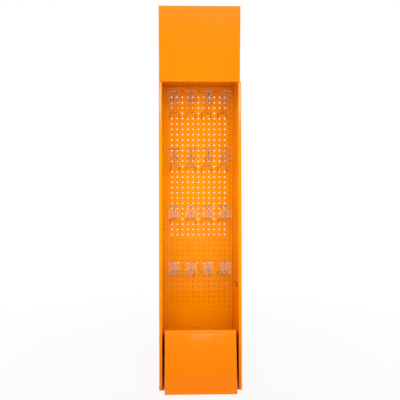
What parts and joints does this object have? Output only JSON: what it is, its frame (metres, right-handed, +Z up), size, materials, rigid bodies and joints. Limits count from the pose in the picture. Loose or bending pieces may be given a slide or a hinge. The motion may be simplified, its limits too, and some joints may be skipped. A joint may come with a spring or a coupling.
{
  "type": "cardboard display stand",
  "caption": "Tall free-standing cardboard display stand with a header box, perforated back, wire hooks with clear label holders and an open base bin.",
  "frame": {"origin": "on the floor under the middle of the whole stand's box", "axes": "+Z up, -Y towards the shopper in front, +X to the shopper's right"},
  "size_m": [0.354, 0.448, 1.633],
  "materials": {
    "printed_board": "gloss",
    "hook_wire": "polished",
    "label_plastic": "gloss"
  },
  "bodies": {
    "root": {"base_bin": "printed_board", "header": "printed_board", "hook_1_1": "hook_wire", "hook_1_2": "hook_wire", "hook_1_3": "hook_wire", "hook_1_4": "hook_wire", "hook_2_1": "hook_wire", "hook_2_2": "hook_wire", "hook_2_3": "hook_wire", "hook_2_4": "hook_wire", "hook_3_1": "hook_wire", "hook_3_2": "hook_wire", "hook_3_3": "hook_wire", "hook_3_4": "hook_wire", "hook_4_1": "hook_wire", "hook_4_2": "hook_wire", "hook_4_3": "hook_wire", "hook_4_4": "hook_wire", "label_holder_1_1": "label_plastic", "label_holder_1_2": "label_plastic", "label_holder_1_3": "label_plastic", "label_holder_1_4": "label_plastic", "label_holder_2_1": "label_plastic", "label_holder_2_2": "label_plastic", "label_holder_2_3": "label_plastic", "label_holder_2_4": "label_plastic", "label_holder_3_1": "label_plastic", "label_holder_3_2": "label_plastic", "label_holder_3_3": "label_plastic", "label_holder_3_4": "label_plastic", "label_holder_4_1": "label_plastic", "label_holder_4_2": "label_plastic", "label_holder_4_3": "label_plastic", "label_holder_4_4": "label_plastic", "outer_shell": "printed_board", "perforated_panel": "printed_board"}
  },
  "joints": []
}
